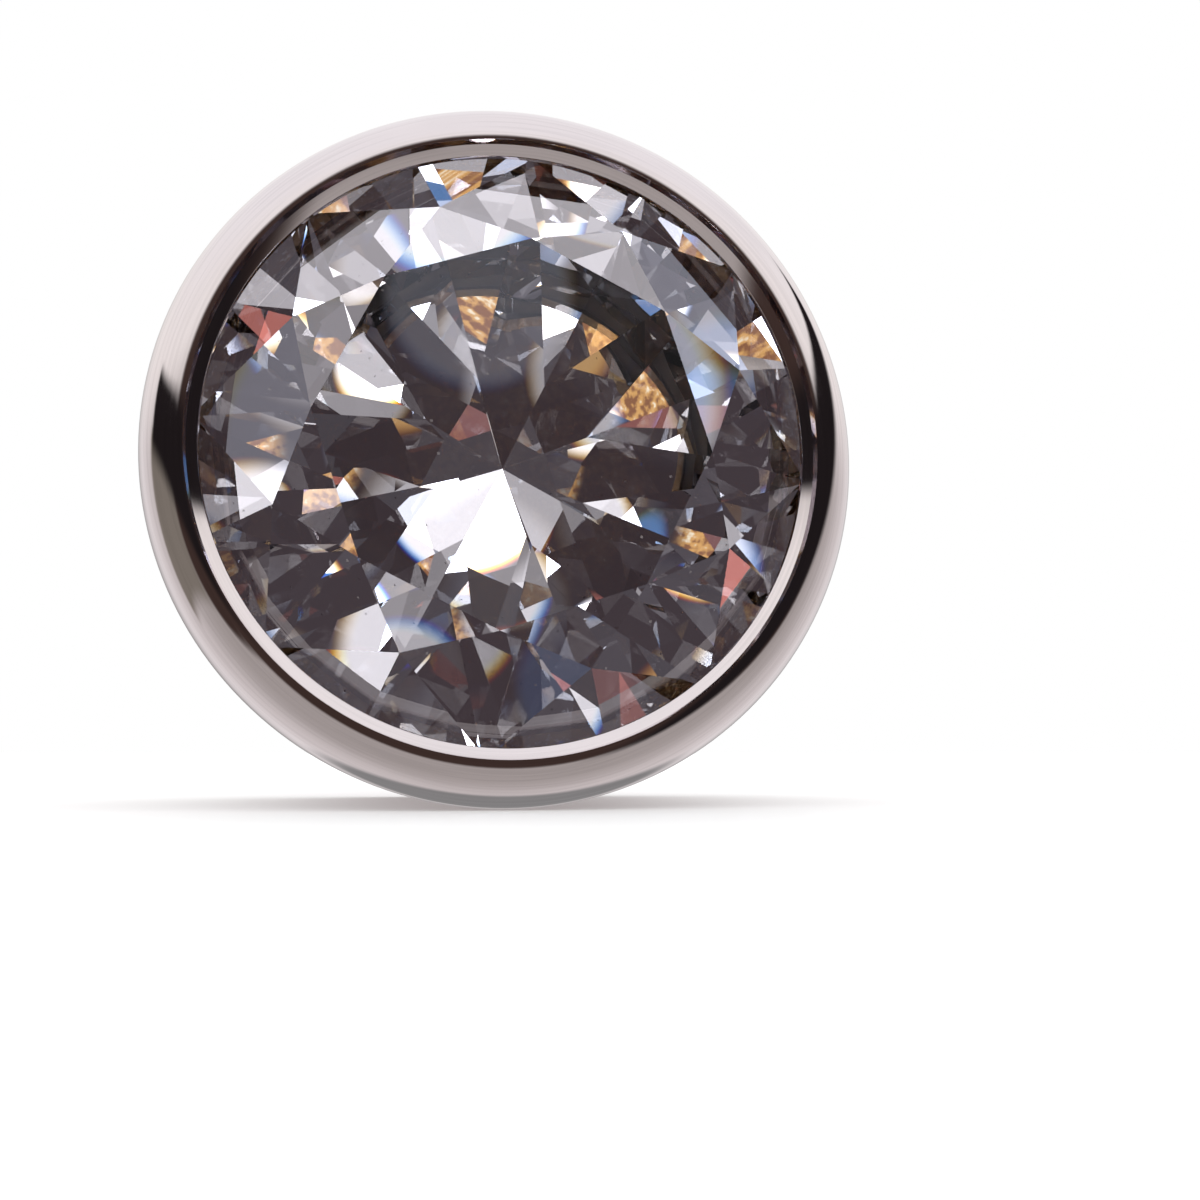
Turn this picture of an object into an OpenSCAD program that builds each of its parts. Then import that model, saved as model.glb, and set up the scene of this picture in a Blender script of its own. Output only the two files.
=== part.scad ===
// Threadless gem top: a clear round brilliant held by the rim of a polished metal head,
// with a plain press-fit pin soldered to the middle of its back.
// The head lies on its side wall at z = 0. Its axis runs along Y, the stone faces -Y
// and the pin points along +Y. The origin is under the middle of the whole length.

/* [Head] */
// Diameter over the side wall
head_d = 3.6; // [3.2:0.1:4.2]
// Height from the crest of the rim to the flat back
head_h = 2.15; // [2.1:0.05:3]
// Radius of the rounded rim
rim_round = 0.24; // [0.18:0.01:0.24]
// Radius of the edge round the back
back_round = 0.07; // [0.03:0.01:0.15]
// Thickness of the wall beside the stone
wall_t = 0.22; // [0.2:0.01:0.26]

/* [Bright-cut edge round the stone] */
// Drop from the crest of the rim to the bright cut
step_h = 0.05; // [0.03:0.01:0.06]
// Drop of the bright cut over its width
cut_drop = 0.025; // [0.02:0.005:0.05]
// Thickness of the lip at its inner edge
lip_t = 0.03; // [0.02:0.005:0.04]
// Width of the stone's edge that the lip covers
lip_hold = 0.05; // [0.04:0.005:0.06]

/* [Stone] */
// Room between the stone and the metal
seat_gap = 0.03; // [0.025:0.005:0.03]
// Corner radius of the table, as a share of the girdle's radius
table_share = 0.62; // [0.55:0.01:0.68]
// Slope of the 8 kite facets
crown_angle = 32; // [31:0.5:35]
// Reach of the 8 star facets from table to girdle
star_share = 0.45; // [0.4:0.05:0.6]
// Height of the girdle where it is tallest
girdle_h = 0.1; // [0.08:0.01:0.12]
// Slope of the 8 pavilion mains
pavilion_angle = 41.2; // [40:0.1:41.4]
// Reach of the 16 lower girdle facets from girdle to point
lower_share = 0.7; // [0.7:0.02:0.84]
// Turn of the facets about the head's axis
facet_turn = -4; // [-20:1:20]

/* [Hollow behind the stone] */
// Width of the sloping ledge under the stone's edge
ledge_w = 0.14; // [0.1:0.01:0.2]
// Room between the stone's point and the floor
point_room = 0.1; // [0.08:0.02:0.12]

/* [Pin] */
// Diameter of the pin
pin_d = 0.51; // [0.48:0.01:0.6]
// Length of the pin behind the head
pin_l = 4.1; // [3:0.1:6]
// Radius of the edge round the pin's tip
tip_round = 0.12; // [0.05:0.01:0.12]
// Width of the solder fillet round the pin's foot
solder_w = 0.05; // [0.03:0.01:0.08]

/* [Hidden] */
$fn = 96;

steel = [0.80, 0.75, 0.75];
clear_stone = [0.92, 0.94, 0.97, 0.6];

head_r = head_d / 2;
pin_r = pin_d / 2;
bore_r = head_r - wall_t;
gem_r = bore_r - seat_gap;
opening_r = gem_r - lip_hold;
crest_r = head_r - rim_round;

// The stone's own frame: its axis is Z, and z = 0 is the top of its girdle.
// Directions count from a kite, so kites lie at 0 and 45, and stars at 22.5 degrees.
half_turn = 22.5;
table_r = table_share * gem_r;
table_flat_r = table_r * cos(half_turn);
crown_h = (gem_r - table_r) * tan(crown_angle);
pavilion_h = gem_r * tan(pavilion_angle);
point_z = -girdle_h - pavilion_h;

function around(radius, turn, z) = [radius * cos(turn), radius * sin(turn), z];
function kite_z(radius, turn) = (gem_r - radius * cos(turn)) * tan(crown_angle);
function main_z(radius, turn) = point_z + radius * cos(turn) * tan(pavilion_angle);

// Corners of the facets between the directions 0 and 45 degrees
star_r = table_flat_r + star_share * (gem_r - table_flat_r);
lower_r = (1 - lower_share) * gem_r;
table_corner = around(table_r, 0, crown_h);
next_table_corner = around(table_r, 2 * half_turn, crown_h);
star_point = around(star_r, half_turn, kite_z(star_r, half_turn));
lower_point = around(lower_r, half_turn, main_z(lower_r, half_turn));
kite_foot = around(gem_r, 0, 0);
star_foot = around(gem_r, half_turn, 0);
main_foot = around(gem_r, 0, -girdle_h);
lower_foot = around(gem_r, half_turn, -girdle_h);

// Depths behind the crest of the rim, along the head's axis. The lip's underside has
// girdle_slope, which is a little steeper than the stone's girdle facets.
girdle_slope = 0.95;
step_lean = 0.005;
lip_top = step_h + cut_drop;
lip_under = lip_top + lip_t;
girdle_depth = lip_under + seat_gap + girdle_slope * lip_hold;
ledge_depth = girdle_depth + girdle_h + seat_gap;
floor_depth = girdle_depth - point_z + point_room;

// Places along Y
stone_proud = crown_h - girdle_depth;
length = stone_proud + head_h + pin_l;
crest_y = stone_proud - length / 2;

// Side of the block that makes each facet cut
cutter = 5 * gem_r;

// A block beyond the plane through a, b and c, which run counterclockwise when seen from
// outside the stone
module cut_beyond(a, b, c) {
    normal = cross(b - a, c - a);
    lean = acos(normal.z / norm(normal));
    translate(a)
        rotate([0, lean, atan2(normal.y, normal.x)])
            translate([-cutter / 2, -cutter / 2, 0])
                cube(cutter);
}

// The cuts of one eighth of the crown: a kite, a star and two girdle facets
module crown_cuts() {
    cut_beyond(table_corner, star_point - [0, 2 * star_point.y, 0], star_point);
    cut_beyond(table_corner, star_point, next_table_corner);
    cut_beyond(star_point, kite_foot, star_foot);
    mirror([0, 1, 0]) cut_beyond(star_point, kite_foot, star_foot);
}

// The cuts of one eighth of the pavilion: a main and two lower girdle facets
module pavilion_cuts() {
    cut_beyond([0, 0, point_z], lower_point, lower_point - [0, 2 * lower_point.y, 0]);
    cut_beyond(lower_point, lower_foot, main_foot);
    mirror([0, 1, 0]) cut_beyond(lower_point, lower_foot, main_foot);
}

module brilliant() {
    difference() {
        translate([0, 0, point_z]) cylinder(r = gem_r, h = crown_h - point_z);
        for (eighth = [0 : 7])
            rotate([0, 0, eighth * 2 * half_turn]) {
                crown_cuts();
                pavilion_cuts();
            }
    }
}

// Half section of the solid head: radius across, depth up
module head_outline() {
    translate([0, rim_round]) square([head_r, head_h - rim_round - back_round]);
    square([crest_r, head_h]);
    translate([0, rim_round]) square([head_r - back_round, head_h - rim_round]);
    translate([crest_r, rim_round]) circle(r = rim_round);
    translate([head_r - back_round, head_h - back_round]) circle(r = back_round);
}

// Half section of the bright cut's recess, the lip's opening, the bore and the hollow
module hollow_outline() {
    polygon([
        [0, -step_h],
        [crest_r, -step_h],
        [crest_r, 0],
        [crest_r - step_lean, step_h],
        [opening_r, lip_top],
        [opening_r, lip_under],
        [bore_r, lip_under + girdle_slope * (bore_r - opening_r)],
        [bore_r, ledge_depth],
        [bore_r - ledge_w, ledge_depth + ledge_w * tan(pavilion_angle)],
        [bore_r - ledge_w, floor_depth],
        [0, floor_depth]
    ]);
}

// Half section of the solder, a hollow quarter round in the corner of head and pin
module solder_outline() {
    difference() {
        square(solder_w);
        translate([solder_w, solder_w]) circle(r = solder_w);
    }
}

// Half section of the pin, which starts inside the head's back
module pin_outline() {
    translate([0, floor_depth]) square([pin_r, head_h + pin_l - tip_round - floor_depth]);
    translate([0, floor_depth]) square([pin_r - tip_round, head_h + pin_l - floor_depth]);
    translate([pin_r - tip_round, head_h + pin_l - tip_round]) circle(r = tip_round);
    translate([pin_r, head_h]) solder_outline();
}

module setting() {
    color(steel)
        translate([0, crest_y, head_r])
            rotate([-90, 0, 0])
                rotate_extrude() {
                    difference() {
                        head_outline();
                        hollow_outline();
                    }
                    pin_outline();
                }
}

module gem() {
    color(clear_stone)
        translate([0, crest_y + girdle_depth, head_r])
            rotate([90, 0, 0])
                rotate([0, 0, facet_turn])
                    brilliant();
}

setting();
gem();
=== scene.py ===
"""Threadless gem top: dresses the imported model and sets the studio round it.

The head lies on its side wall. Its axis runs along Y, the stone faces -Y and the pin points
along +Y. Lengths are in metres.
"""

import math

import bmesh
import bpy
from bpy.props import FloatProperty, FloatVectorProperty, IntProperty, PointerProperty
from mathutils import Matrix, Vector


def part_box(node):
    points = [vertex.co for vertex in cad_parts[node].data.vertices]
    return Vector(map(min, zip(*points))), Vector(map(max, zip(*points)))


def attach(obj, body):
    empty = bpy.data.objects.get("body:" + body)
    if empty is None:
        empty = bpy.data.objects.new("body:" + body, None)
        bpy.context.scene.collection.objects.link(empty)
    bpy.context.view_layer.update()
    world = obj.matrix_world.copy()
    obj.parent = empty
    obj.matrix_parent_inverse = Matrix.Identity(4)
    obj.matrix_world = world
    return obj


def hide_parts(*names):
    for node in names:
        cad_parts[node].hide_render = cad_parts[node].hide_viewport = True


bl_info = {
    "name": "Threadless Gem Top",
    "version": (1, 0, 0),
    "blender": (4, 5, 0),
    "location": "View3D > Sidebar > Gem Top",
    "description": "Finishes a bezel-set gem top for a threadless jewel and lights it",
    "category": "Object",
}

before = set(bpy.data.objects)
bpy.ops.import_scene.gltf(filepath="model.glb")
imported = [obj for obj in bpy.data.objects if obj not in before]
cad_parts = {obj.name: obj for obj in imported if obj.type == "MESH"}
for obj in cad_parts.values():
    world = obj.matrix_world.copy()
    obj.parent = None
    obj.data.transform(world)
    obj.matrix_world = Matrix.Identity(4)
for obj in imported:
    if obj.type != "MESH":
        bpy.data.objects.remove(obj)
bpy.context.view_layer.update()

MM = 0.001
SETTING_LOW, SETTING_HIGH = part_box("setting")
GEM_LOW, GEM_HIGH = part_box("gem")
HEAD_R = (SETTING_HIGH.x - SETTING_LOW.x) / 2
AXIS_Z = HEAD_R
CREST_Y = SETTING_LOW.y
TIP_Y = SETTING_HIGH.y

# How far behind the crest of the rim the camera aims
AIM_DEPTH = 0.1 * MM

# The picture's side and the middle of the stone's opening in it, in pixels from the top left
PICTURE_SIDE = 1200
RING_X, RING_Y = 511, 445


class HeadSettings(bpy.types.PropertyGroup):
    """Sizes and colours of the metal head and its pin"""

    height: FloatProperty(
        name="Height", description="From the crest of the rim to the flat back",
        default=2.15 * MM, unit="LENGTH", precision=5,
    )
    rim_round: FloatProperty(
        name="Rim round", description="Radius of the rounded rim",
        default=0.24 * MM, unit="LENGTH", precision=5,
    )
    back_round: FloatProperty(
        name="Back round", description="Radius of the edge round the back",
        default=0.07 * MM, unit="LENGTH", precision=5,
    )
    wall: FloatProperty(
        name="Wall", description="Thickness of the wall beside the stone",
        default=0.22 * MM, unit="LENGTH", precision=5,
    )
    opening: FloatProperty(
        name="Opening", description="Radius of the opening that shows the stone",
        default=1.5 * MM, unit="LENGTH", precision=5,
    )
    pin: FloatProperty(
        name="Pin", description="Radius of the pin",
        default=0.255 * MM, unit="LENGTH", precision=5,
    )
    tip_round: FloatProperty(
        name="Tip round", description="Radius of the edge round the pin's tip",
        default=0.12 * MM, unit="LENGTH", precision=5,
    )
    steps: IntProperty(
        name="Steps", description="Flat strips round the head", default=192, min=32,
    )
    colour: FloatVectorProperty(
        name="Metal", description="What the polished metal mirrors of white light",
        default=(0.80, 0.735, 0.745), subtype="COLOR", size=3, min=0, max=1,
    )


class StageSettings(bpy.types.PropertyGroup):
    """The camera, the surface and the light"""

    distance: FloatProperty(
        name="Distance", description="From the camera to the middle of the rim",
        default=6.3 * MM, unit="LENGTH", precision=5,
    )
    elevation: FloatProperty(
        name="Elevation", description="How far above the head's axis the camera stands",
        default=math.radians(-14), subtype="ANGLE",
    )
    lens: FloatProperty(
        name="Lens", description="Focal length over the width of the sensor",
        default=1.0428, min=0.1,
    )
    turn: FloatProperty(
        name="Turn", description="How far to the left of the head's axis the camera stands",
        default=math.radians(5), subtype="ANGLE",
    )


def scene_settings():
    return bpy.context.scene.gem_top_head, bpy.context.scene.gem_top_stage


class Wire:
    """A node's output. Sums, products and the like of wires and numbers add Math nodes."""

    def __init__(self, tree, socket=None):
        self.tree, self.socket = tree, socket

    def node(self, kind, settings=None, inputs=None, output=0):
        """Adds a node: first its settings, then the values or wires of its inputs."""
        made = self.tree.nodes.new(f"ShaderNode{kind}")
        for name, value in (settings or {}).items():
            setattr(made, name, value)
        for name, value in (inputs or {}).items():
            if isinstance(value, Wire):
                self.tree.links.new(value.socket, made.inputs[name])
            else:
                made.inputs[name].default_value = value
        return Wire(self.tree, made.outputs[output] if made.outputs else None)

    def math(self, operation, *values):
        return self.node("Math", {"operation": operation}, dict(enumerate(values)))

    def __add__(self, other):
        return self.math("ADD", self, other)

    __radd__ = __add__

    def __sub__(self, other):
        return self.math("SUBTRACT", self, other)

    def __rsub__(self, other):
        return self.math("SUBTRACT", other, self)

    def __mul__(self, other):
        return self.math("MULTIPLY", self, other)

    __rmul__ = __mul__

    def __neg__(self):
        return self.math("MULTIPLY", self, -1.0)

    def absolute(self):
        return self.math("ABSOLUTE", self)

    def dot(self, vector):
        return self.node(
            "VectorMath", {"operation": "DOT_PRODUCT"}, {0: self, 1: vector}, "Value"
        )

    def ramp(self, low, high):
        """0 below low and 1 above high, with a smooth rise between."""
        return self.node(
            "MapRange", {"interpolation_type": "SMOOTHSTEP"},
            {"Value": self, "From Min": low, "From Max": high},
        )

    def blend(self, first, second):
        """The colour first where this wire is 0, and second where it is 1."""
        mix = {"data_type": "RGBA"}
        return self.node("Mix", mix, {"Factor": self, "A": first, "B": second}, "Result")


def link_object(name, mesh, materials):
    made = bpy.data.objects.new(name, mesh)
    bpy.context.scene.collection.objects.link(made)
    for material in materials:
        mesh.materials.append(material)
    return made


def new_material(name):
    """A material with an empty tree, and a wire to build its nodes from."""
    material = bpy.data.materials.new(name)
    material.use_nodes = True
    material.node_tree.nodes.clear()
    return material, Wire(material.node_tree)


def in_mm(wire):
    place = wire.node("TexCoord", output="Object")
    return wire.node("VectorMath", {"operation": "SCALE"}, {0: place, "Scale": 1 / MM})


def from_axis(place):
    """Mm to the right of the head's axis, mm above it, and the distance from it in mm."""
    x = place.dot((1, 0, 0))
    z = place.dot((0, 0, 1)) - AXIS_Z / MM
    return x, z, x.math("SQRT", x * x + z * z)


def round_the_head(place):
    """Coordinates whose noise is fine across the polishing marks and long round the axis."""
    x, z, radius = from_axis(place)
    y = place.dot((0, 1, 0))
    turn = x.math("ARCTAN2", z, x)
    marks_per_mm, marks_per_radian = 60, 2
    return x.node(
        "CombineXYZ",
        inputs={0: radius * marks_per_mm, 1: y * marks_per_mm, 2: turn * marks_per_radian},
    )


# Share of the light that the polishing marks give back
MARK_TONE = 0.93


def polished_metal():
    """Polished metal with hair-fine marks that run round the head, and a faint haze."""
    head, _ = scene_settings()
    material, wire = new_material("Polished metal")
    place = in_mm(wire)
    marks = wire.node(
        "TexNoise", inputs={"Vector": round_the_head(place), "Scale": 1.0, "Detail": 3.0},
    )
    cloud = wire.node("TexNoise", inputs={"Vector": place, "Scale": 2.6, "Detail": 2.0})
    rough = 0.035 + cloud.ramp(0.35, 0.7) * 0.03 + marks.ramp(0.6, 0.8) * 0.04
    bump = wire.node(
        "Bump", inputs={"Strength": 0.16, "Distance": 0.0005 * MM, "Height": marks},
    )
    marked = [MARK_TONE * part for part in head.colour]
    tone = marks.ramp(0.36, 0.56) * (0.75 + cloud.ramp(0.3, 0.7) * 0.25)
    shader = wire.node(
        "BsdfPrincipled", inputs={
            "Base Color": tone.blend((*marked, 1), (*head.colour, 1)), "Metallic": 1.0,
            "Roughness": rough, "Normal": bump,
        },
    )
    wire.node("OutputMaterial", inputs={"Surface": shader})
    return material


def hollow_metal():
    """The bare hollow behind the stone, grainy and stained warm by the solder's heat."""
    material, wire = new_material("Grainy hollow")
    place = in_mm(wire)
    grain = wire.node("TexNoise", inputs={"Vector": place, "Scale": 26.0, "Detail": 4.0})
    stain = wire.node("TexNoise", inputs={"Vector": place, "Scale": 2.2, "Detail": 2.0})
    brown, gold, bare = (0.30, 0.15, 0.08, 1), (0.50, 0.34, 0.16, 1), (0.72, 0.64, 0.54, 1)
    colour = stain.ramp(0.35, 0.65).blend(brown, gold)
    colour = grain.ramp(0.52, 0.7).blend(colour, bare)
    bump = wire.node(
        "Bump", inputs={"Strength": 0.6, "Distance": 0.012 * MM, "Height": grain},
    )
    shader = wire.node(
        "BsdfPrincipled", inputs={
            "Base Color": colour, "Metallic": 0.6, "Roughness": 0.42, "Normal": bump,
        },
    )
    wire.node("OutputMaterial", inputs={"Surface": shader})
    return material


# The stone's index of refraction, and in mm the depth of its frosted girdle and a speck's side
STONE_IOR = 2.16
FROST_DEPTH = 0.004
SPECK = 0.012


def clear_stone():
    """Clear stone with polished facets, a frosted girdle and a few specks of dust."""
    material, wire = new_material("Clear stone")
    place = in_mm(wire)
    _, _, reach = from_axis(place)
    gem_r = (GEM_HIGH.x - GEM_LOW.x) / 2 / MM
    girdle = reach.math("GREATER_THAN", reach, gem_r - FROST_DEPTH)
    clear = wire.node(
        "BsdfGlass", inputs={"Color": (1, 1, 1, 1), "Roughness": 0.0, "IOR": STONE_IOR},
    )
    frost = wire.node("BsdfDiffuse", inputs={"Color": (0.21, 0.19, 0.19, 1)})
    grid = wire.node("VectorMath", {"operation": "SNAP"}, {0: place, 1: (SPECK,) * 3})
    specks = wire.node("TexWhiteNoise", inputs={"Vector": grid})
    dust = specks.ramp(0.9993, 0.9994) * 0.5
    either = girdle.math("MAXIMUM", girdle * 0.85, dust)
    surface = wire.node("MixShader", inputs={0: either, 1: clear, 2: frost})
    wire.node("OutputMaterial", inputs={"Surface": surface})
    return material


# Depths behind the crest of the rim: the bright cut's outer edge and the lip
STEP = 0.05 * MM
LIP_TOP, LIP_UNDER = 0.075 * MM, 0.105 * MM

# Room round the stone, height of its girdle, room behind its point, and the width of its edge
# that the lip covers
SEAT_GAP, GIRDLE_H, POINT_ROOM, LIP_HOLD = 0.03 * MM, 0.1 * MM, 0.1 * MM, 0.05 * MM

# How far inside the crest the step starts and ends, and the width of the sloping ledge
STEP_START, STEP_END = 0.002 * MM, 0.007 * MM
LEDGE_W = 0.14 * MM

# Slopes of the lip's underside and of the ledge, as rise over run
LIP_SLOPE, LEDGE_SLOPE = 0.95, math.tan(math.radians(41.2))

# Rounds of the solder at the pin's foot, the bright cut's inner edge and the hollow's floor
SOLDER_ROUND, LIP_ROUND, FLOOR_ROUND = 0.05 * MM, 0.006 * MM, 0.05 * MM


def head_corners(head):
    """Corners of the half section, as radius, depth behind the crest and round."""
    bore = HEAD_R - head.wall
    crest = HEAD_R - head.rim_round
    back, tip = head.height, TIP_Y - CREST_Y
    ledge = LIP_UNDER + LIP_SLOPE * LIP_HOLD + GIRDLE_H + 2 * SEAT_GAP
    hollow_floor = GEM_HIGH.y - CREST_Y + POINT_ROOM
    return [
        (0, tip, 0),
        (head.pin, tip, head.tip_round),
        (head.pin, back, SOLDER_ROUND),
        (HEAD_R, back, head.back_round),
        (HEAD_R, 0, head.rim_round),
        (crest - STEP_START, 0, 0),
        (crest - STEP_END, STEP, 0),
        (head.opening, LIP_TOP, LIP_ROUND),
        (head.opening, LIP_UNDER, 0),
        (bore, LIP_UNDER + LIP_SLOPE * (bore - head.opening), 0),
        (bore, ledge, 0),
        (bore - LEDGE_W, ledge + LEDGE_W * LEDGE_SLOPE, 0),
        (bore - LEDGE_W, hollow_floor, FLOOR_ROUND),
        (0, hollow_floor, 0),
    ]


def in_hollow(middle, head):
    """Whether a face's middle lies in the hollow behind the lip."""
    radius = math.hypot(middle.x, middle.z - AXIS_Z)
    depth = middle.y - CREST_Y
    side_play, lip_play, back_wall = 0.001 * MM, 0.01 * MM, 0.1 * MM
    inside = radius < HEAD_R - head.wall + side_play
    return inside and LIP_UNDER - lip_play < depth < head.height - back_wall


# Smallest angle between two faces that shows as an edge, and the segments of a round
SHARP = math.radians(25)
ROUND_SEGMENTS = 16


def turned_mesh(name, corners, steps):
    """Spins a half section with rounded corners round the head's axis."""
    bm = bmesh.new()
    verts = [bm.verts.new((r, CREST_Y + depth, AXIS_Z)) for r, depth, _ in corners]
    for a, b in zip(verts, verts[1:]):
        bm.edges.new((a, b))
    for vert, (_, _, size) in zip(verts, corners):
        if size:
            a, b = (e.other_vert(vert).co - vert.co for e in vert.link_edges)
            offset = size / math.tan(a.angle(b) / 2)
            bmesh.ops.bevel(
                bm, geom=[vert], offset=offset, offset_type="OFFSET", affect="VERTICES",
                segments=ROUND_SEGMENTS, profile=0.5, material=-1, clamp_overlap=False,
            )
    bmesh.ops.spin(
        bm, geom=bm.verts[:] + bm.edges[:], cent=(0, 0, AXIS_Z), axis=(0, 1, 0),
        angle=math.tau, steps=steps, use_merge=True,
    )
    bmesh.ops.remove_doubles(bm, verts=bm.verts, dist=1e-8)
    bmesh.ops.recalc_face_normals(bm, faces=bm.faces)
    for face in bm.faces:
        face.smooth = True
    for edge in bm.edges:
        edge.smooth = edge.is_manifold and edge.calc_face_angle() < SHARP
    mesh = bpy.data.meshes.new(name)
    bm.to_mesh(mesh)
    bm.free()
    return mesh


class OBJECT_OT_gem_top_head(bpy.types.Operator):
    """Makes the polished head with its pin"""

    bl_idname = "object.gem_top_head"
    bl_label = "Head and pin"

    def execute(self, context):
        head, _ = scene_settings()
        mesh = turned_mesh("polished_setting", head_corners(head), head.steps)
        made = link_object("polished_setting", mesh, [polished_metal(), hollow_metal()])
        for face in mesh.polygons:
            face.material_index = int(in_hollow(face.center, head))
        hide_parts("setting")
        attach(made, "root")
        return {"FINISHED"}


class OBJECT_OT_gem_top_stone(bpy.types.Operator):
    """Gives the cut stone its clear material"""

    bl_idname = "object.gem_top_stone"
    bl_label = "Stone"

    def execute(self, context):
        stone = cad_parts["gem"]
        stone.data.materials.clear()
        stone.data.materials.append(clear_stone())
        return {"FINISHED"}


def aimed_rotation(eye, target, across, up):
    """Turns a level camera at eye so that target shows at across and up in its picture."""
    to_target = (target - eye).normalized()
    stretch = math.sqrt(1 + across**2 + up**2)
    pitch = math.asin(stretch * to_target.z / math.hypot(1, up)) - math.atan(up)
    forward = math.cos(pitch) - up * math.sin(pitch)
    yaw = math.atan2(across, forward) - math.atan2(to_target.x, to_target.y)
    return Matrix.Rotation(yaw, 4, "Z") @ Matrix.Rotation(math.pi / 2 + pitch, 4, "X")


def add_camera(stage):
    target = Vector((0, CREST_Y + AIM_DEPTH, AXIS_Z))
    level, rise = math.cos(stage.elevation), math.sin(stage.elevation)
    away = Vector((-math.sin(stage.turn) * level, -math.cos(stage.turn) * level, rise))
    eye = target + stage.distance * away
    focal = stage.lens * PICTURE_SIDE
    across, up = (RING_X - PICTURE_SIDE / 2) / focal, (PICTURE_SIDE / 2 - RING_Y) / focal
    data = bpy.data.cameras.new("Camera")
    data.sensor_width = 36
    data.lens = stage.lens * data.sensor_width
    data.clip_start, data.clip_end = 0.05 * MM, 2
    camera = bpy.data.objects.new("Camera", data)
    camera.matrix_world = Matrix.Translation(eye) @ aimed_rotation(eye, target, across, up)
    bpy.context.scene.collection.objects.link(camera)
    bpy.context.scene.camera = camera


FLOOR_R = 0.6


def add_floor():
    bm = bmesh.new()
    bmesh.ops.create_circle(bm, cap_ends=True, segments=96, radius=FLOOR_R)
    mesh = bpy.data.meshes.new("floor")
    bm.to_mesh(mesh)
    bm.free()
    material, wire = new_material("Pale floor")
    shader = wire.node("BsdfDiffuse", inputs={"Color": (0.9, 0.9, 0.9, 1)})
    wire.node("OutputMaterial", inputs={"Surface": shader})
    floor = link_object("floor", mesh, [material])
    floor.visible_glossy = floor.visible_transmission = False


def towards(off, turn):
    """The direction off degrees from the head's axis, turned from +X as the stone is faced."""
    off, turn = math.radians(off), math.radians(turn)
    return (math.sin(off) * math.cos(turn), -math.cos(off), math.sin(off) * math.sin(turn))


def edges(radius, soft):
    """Cosines at the outside and the inside of a round patch's soft edge."""
    return [math.cos(math.radians(radius * (1 + side * soft))) for side in (1, -1)]


def bearing(right, above):
    """The direction right degrees right of the head's axis as the stone is faced, and above it."""
    right, above = math.radians(right), math.radians(above)
    level = math.cos(above)
    return (level * math.sin(right), -level * math.cos(right), math.sin(above))


def disc(away, middle, radius, soft):
    """1 inside a round patch of the sky, and 0 outside its soft edge."""
    return away.dot(middle).ramp(*edges(radius, soft))


# Colours of the lights round the stone
WHITE, COOL = (1.0, 0.97, 1.04), (0.93, 0.97, 1.16)
CORAL, BLUE, AMBER = (1.0, 0.30, 0.24), (0.12, 0.42, 1.0), (1.0, 0.58, 0.2)

# Lights that show in the stone: name, degrees off the head's axis, direction counterclockwise
# from +X as the stone is faced, radius in degrees, level and colour
STONE_LIGHTS = (
    ("key spot", 21, 81, 4, 8.0, COOL),
    ("key window", 23, 55, 5.5, 1.2, WHITE),
    ("key window, right", 31, 38, 5.5, 4.0, COOL),
    ("tent round the key", 31, 90, 16, 0.5, WHITE),
    ("tent, left", 33, 135, 14, 0.25, WHITE),
    ("window, left", 40, 138, 8.5, 1.2, WHITE),
    ("spot, far left", 25, 173, 4, 0.9, WHITE),
    ("glow round the lens", 5, 130, 6, 0.3, WHITE),
    ("glint over the lens", 11, 114, 2.5, 1.0, WHITE),
    ("glint beside the lens", 8, 55, 3, 4.0, WHITE),
    ("strip, right", 46, 36, 6, 2.0, COOL),
    ("glint, right", 24, 14, 3, 1.2, COOL),
    ("side lamp, right", 78, 23, 8, 6.0, WHITE),
    ("low spot, right", 51, 345, 4, 8.0, COOL),
    ("ceiling window", 62, 64, 9, 2.2, WHITE),
    ("ceiling spot", 56, 97, 4, 5.0, WHITE),
    ("ceiling lamp", 79, 105, 10, 3.0, WHITE),
    ("ceiling lamp, left", 80, 118, 6.5, 1.9, WHITE),
    ("ceiling behind", 102, 77, 18.5, 2.1, WHITE),
    ("ceiling, right", 104, 43, 21, 1.0, COOL),
    ("side wall, left", 64, 162, 10, 0.8, COOL),
    ("side spot, left", 71, 168, 4.5, 6.0, WHITE),
    ("side lamp, left", 81, 179, 5, 4.7, WHITE),
    ("low spot, left", 73, 230, 3.5, 5.0, WHITE),
    ("low glint, left", 29, 241, 3, 2.4, WHITE),
    ("low glint, far left", 34, 227, 3.5, 0.8, WHITE),
    ("low glint", 19, 200, 2.7, 1.3, WHITE),
    ("low glint by the lens", 11, 227, 3.3, 0.35, WHITE),
    ("fill, right", 62, 0, 44, 0.04, COOL),
    ("fill, left", 62, 190, 44, 0.04, COOL),
    ("coral card, left", 86, 149, 4.5, 2.2, CORAL),
    ("coral card, right", 84, 341, 5, 3.2, CORAL),
    ("coral card, low right", 80, 304, 7, 0.6, CORAL),
    ("coral glint, left", 22, 224, 3.5, 0.4, CORAL),
    ("coral glint, low", 29, 274, 3.5, 0.25, CORAL),
    ("coral glint, right", 28, 322, 3.5, 0.2, CORAL),
    ("amber glint, low right", 72, 305, 3.5, 2.5, AMBER),
    ("amber glint, right", 14, 322, 3.5, 0.5, AMBER),
    ("blue edge, key", 36, 70, 3, 0.5, BLUE),
    ("blue edge, right", 34, 3, 3.5, 0.5, BLUE),
    ("blue strip, right", 50, 30, 3.5, 0.9, BLUE),
    ("blue strip, high right", 86, 43, 4, 0.8, BLUE),
    ("blue strip, behind", 97, 38, 3.5, 1.2, BLUE),
    ("blue glint, low", 65, 308, 4, 1.0, BLUE),
    ("blue glint, floor", 61, 276, 3.5, 0.35, BLUE),
)


# How far a light at a right angle to the head's axis moves outwards for red, green and blue,
# in radians
COLOUR_SPREAD = (0.0045, 0.0, -0.007)

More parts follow.
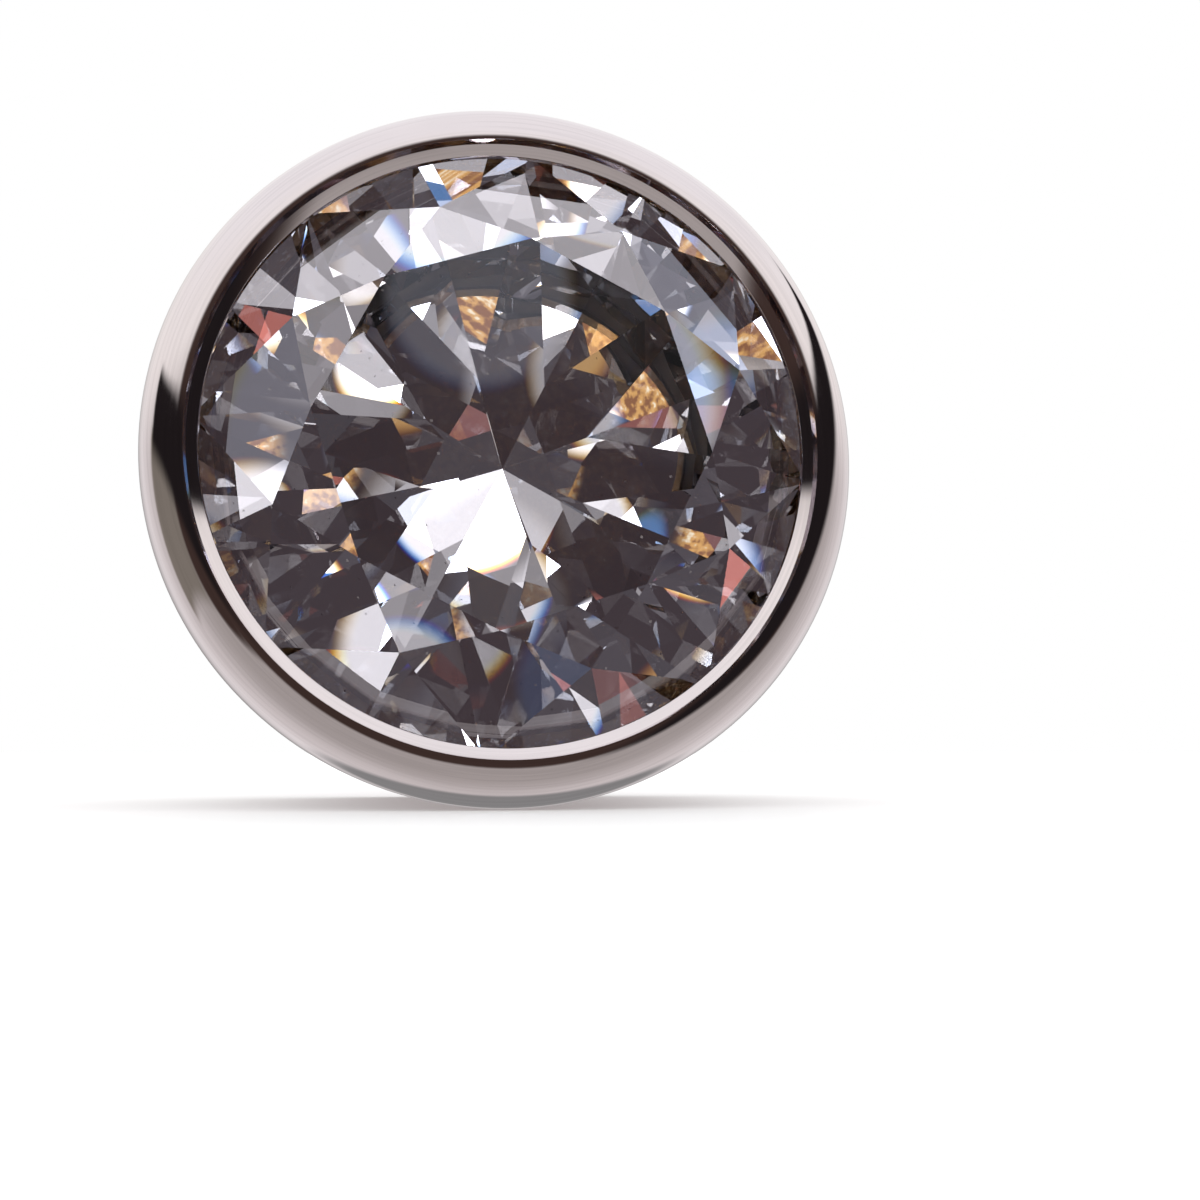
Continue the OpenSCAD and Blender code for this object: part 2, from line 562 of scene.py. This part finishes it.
# Half the width of a light's soft edge: a share of its radius, and at most these degrees
SOFT_SHARE, SOFT_DEGREES = 0.12, 0.6


def lights_of_stone(away, lights):
    """The sum of round soft lights.

    The stone spreads light into colours. Here each light lies a little further out for red
    and further in for blue instead, so that its images get the same warm and blue edges.
    """
    ahead = away.dot((0, -1, 0))
    total = (0, 0, 0)
    for _, off, turn, radius, level, colour in lights:
        near = away.dot(towards(off, turn))
        shift = math.cos(math.radians(off)) - ahead * near
        inside = away.node(
            "VectorMath", {"operation": "MULTIPLY_ADD"}, {0: shift, 1: COLOUR_SPREAD, 2: near}
        )
        low, high = edges(radius, min(SOFT_SHARE, SOFT_DEGREES / radius))
        inside = away.node(
            "MapRange", {"data_type": "FLOAT_VECTOR", "interpolation_type": "SMOOTHSTEP"},
            {"Vector": inside, 7: (low,) * 3, 8: (high,) * 3}, "Vector",
        )
        total = away.node(
            "VectorMath", {"operation": "MULTIPLY_ADD"},
            {0: inside, 1: [level * part for part in colour], 2: total},
        )
    return total


def grainy_card(away):
    """A warm grainy card beside the lens."""
    grain = away.node("TexNoise", inputs={"Vector": away, "Scale": 130.0, "Detail": 4.0})
    card = grain.ramp(0.42, 0.56).blend((0.30, 0.12, 0.04, 1), (0.85, 0.46, 0.14, 1))
    card = grain.ramp(0.58, 0.7).blend(card, (1.2, 1.05, 0.8, 1))
    return disc(away, towards(14, 66), 5.5, 0.1).blend((0, 0, 0, 1), card)


def stone_sky(away):
    """What the stone mirrors and what the rays that leave it see: a dark room with lights."""
    room = (0.049, 0.036, 0.042, 1)
    middle = len(STONE_LIGHTS) // 2
    skies = (
        lights_of_stone(away, STONE_LIGHTS[:middle]),
        lights_of_stone(away, STONE_LIGHTS[middle:]),
        grainy_card(away),
    )
    shader = away.node("Background", inputs={"Color": room})
    for sky in skies:
        background = away.node("Background", inputs={"Color": sky})
        shader = away.node("AddShader", inputs={0: shader, 1: background})
    return shader


# Dark patches that the metal mirrors from straight ahead: degrees right of the head's axis,
# degrees above it, radius in degrees and softness of the edge
DARK_PATCHES = ((3, 9, 27, 0.12), (32, 0, 12, 0.35), (-28, 1, 11, 0.25), (5, -4, 13, 0.4))


# Black flags beside the head, in degrees: where each starts and ends to its side, the height
# of its upper edge at the start with the rise for each degree, the same for its lower edge,
# and half the width of the soft lower edge
LEFT_FLAG = (11, 84, (15.18, 0.13), (1.32, 0.12), 3)
RIGHT_FLAG = (16, 104, (13.06, 0.353), (-20.64, 0.617), 5)

# Half the width of a flag's upper edge and of its ends, in degrees
FLAG_EDGE, FLAG_END = 1.5, 4


def flag(side, above, start, end, top, bottom, soft):
    """1 inside a flag, whose edges slant, and 0 outside it."""
    upper, lower = (height + rise * (side - start) for height, rise in (top, bottom))
    inside = (upper - above).ramp(-FLAG_EDGE, FLAG_EDGE) * (above - lower).ramp(-soft, soft)
    inside = inside * side.ramp(start - FLAG_END, start + FLAG_END)
    return inside * (1 - side.ramp(end - FLAG_END, end + FLAG_END))


def metal_sky(away):
    """What the polished metal mirrors: a pale tent with dark flags at both sides."""
    side, ahead, rise = away.dot((1, 0, 0)), away.dot((0, -1, 0)), away.dot((0, 0, 1))
    degrees, back = 180 / math.pi, -ahead
    right = away.math("ARCTAN2", side, ahead) * degrees
    left = -right
    above = away.math("ARCSINE", rise) * degrees

    # The pale tent overhead, and the surface below, which is dim ahead and bright behind
    tent = above.ramp(20, 60).blend((1.0, 0.98, 0.955, 1), (1.0, 1.0, 1.02, 1))
    table_top = back.ramp(-0.75, 0.1).blend((0.43, 0.405, 0.39, 1), (0.70, 0.67, 0.665, 1))
    table_top = back.ramp(-0.05, 0.95).blend(table_top, (0.98, 0.965, 0.97, 1))
    sky = above.ramp(6, 28).blend(table_top, tent)

    # Grey below and behind the head, and level with it
    sky = disc(away, bearing(174, -57), 30, 0.18).blend(sky, (0.28, 0.29, 0.29, 1))
    behind = right.absolute().ramp(118, 166) * above.ramp(-46, -4) * (1 - above.ramp(4, 40))
    sky = behind.blend(sky, (0.34, 0.325, 0.325, 1))

    # A grey card at the left, whose lower edge slants
    card = right.ramp(-92, -84) * (1 - right.ramp(-42, -30)) * (1 - above.ramp(12, 16))
    card = card * (above + 0.27 * (left - 32)).ramp(-10, -5)
    sky = card.blend(sky, (0.235, 0.215, 0.185, 1))

    for patch_right, patch_above, radius, soft in DARK_PATCHES:
        dark = disc(away, bearing(patch_right, patch_above), radius, soft)
        sky = dark.blend(sky, (0.055, 0.035, 0.03, 1))

    for black in (flag(left, above, *LEFT_FLAG), flag(right, above, *RIGHT_FLAG)):
        sky = black.blend(sky, (0.015, 0.012, 0.013, 1))
    return sky


# Share of the light that a dark hood over the lens keeps off the outside of the stone
HOOD_SHADE = 0.94


def add_world():
    """Gives the stone, the metal, the floor and the ground behind them their own light."""
    world = bpy.data.worlds.new("Studio")
    bpy.context.scene.world = world
    world.use_nodes = True
    world.node_tree.nodes.clear()
    wire = Wire(world.node_tree)
    away = wire.node("TexCoord", output="Generated")
    path = {name: wire.node("LightPath", output=f"Is {name} Ray")
            for name in ("Camera", "Diffuse", "Singular", "Reflection")}
    hood = path["Reflection"] * disc(away, towards(15, 71), 23, 0.08) * HOOD_SHADE
    black = wire.node("Background", inputs={"Color": (0, 0, 0, 1)})
    seen = {
        "Singular": wire.node("MixShader", inputs={0: hood, 1: stone_sky(away), 2: black}),
        "Diffuse": wire.node("Background", inputs={"Color": (1.5, 1.5, 1.5, 1)}),
        "Camera": wire.node("Background", inputs={"Color": (1, 1, 1, 1)}),
    }
    surface = wire.node("Background", inputs={"Color": metal_sky(away)})
    for kind, background in seen.items():
        surface = wire.node("MixShader", inputs={0: path[kind], 1: surface, 2: background})
    wire.node("OutputWorld", inputs={"Surface": surface})


class OBJECT_OT_gem_top_stage(bpy.types.Operator):
    """Sets the camera, the pale floor and the soft light"""

    bl_idname = "object.gem_top_stage"
    bl_label = "Stage"

    def execute(self, context):
        _, stage = scene_settings()
        scene = context.scene
        scene.view_settings.view_transform = "Standard"
        scene.cycles.max_bounces = 24
        scene.cycles.transmission_bounces = 20
        scene.cycles.glossy_bounces = 16
        scene.cycles.blur_glossy = 0.0
        add_camera(stage)
        add_floor()
        add_world()
        return {"FINISHED"}


class VIEW3D_PT_gem_top(bpy.types.Panel):
    """Lists the pieces and the stage in the sidebar"""

    bl_idname = "VIEW3D_PT_gem_top"
    bl_label = "Gem Top"
    bl_space_type = "VIEW_3D"
    bl_region_type = "UI"
    bl_category = "Gem Top"

    def draw(self, context):
        for operator, settings in PANEL_ROWS:
            self.layout.operator(operator)
            if settings:
                group = getattr(context.scene, settings)
                for name in group.__annotations__:
                    self.layout.prop(group, name)


PANEL_ROWS = (
    (OBJECT_OT_gem_top_head.bl_idname, "gem_top_head"),
    (OBJECT_OT_gem_top_stone.bl_idname, None),
    (OBJECT_OT_gem_top_stage.bl_idname, "gem_top_stage"),
)
CLASSES = (
    HeadSettings,
    StageSettings,
    OBJECT_OT_gem_top_head,
    OBJECT_OT_gem_top_stone,
    OBJECT_OT_gem_top_stage,
    VIEW3D_PT_gem_top,
)


def register():
    for cls in CLASSES:
        bpy.utils.register_class(cls)
    bpy.types.Scene.gem_top_head = PointerProperty(type=HeadSettings)
    bpy.types.Scene.gem_top_stage = PointerProperty(type=StageSettings)


def unregister():
    del bpy.types.Scene.gem_top_head
    del bpy.types.Scene.gem_top_stage
    for cls in reversed(CLASSES):
        bpy.utils.unregister_class(cls)


def main():
    register()
    bpy.ops.object.gem_top_head()
    bpy.ops.object.gem_top_stone()
    bpy.ops.object.gem_top_stage()


if __name__ == "__main__":
    main()
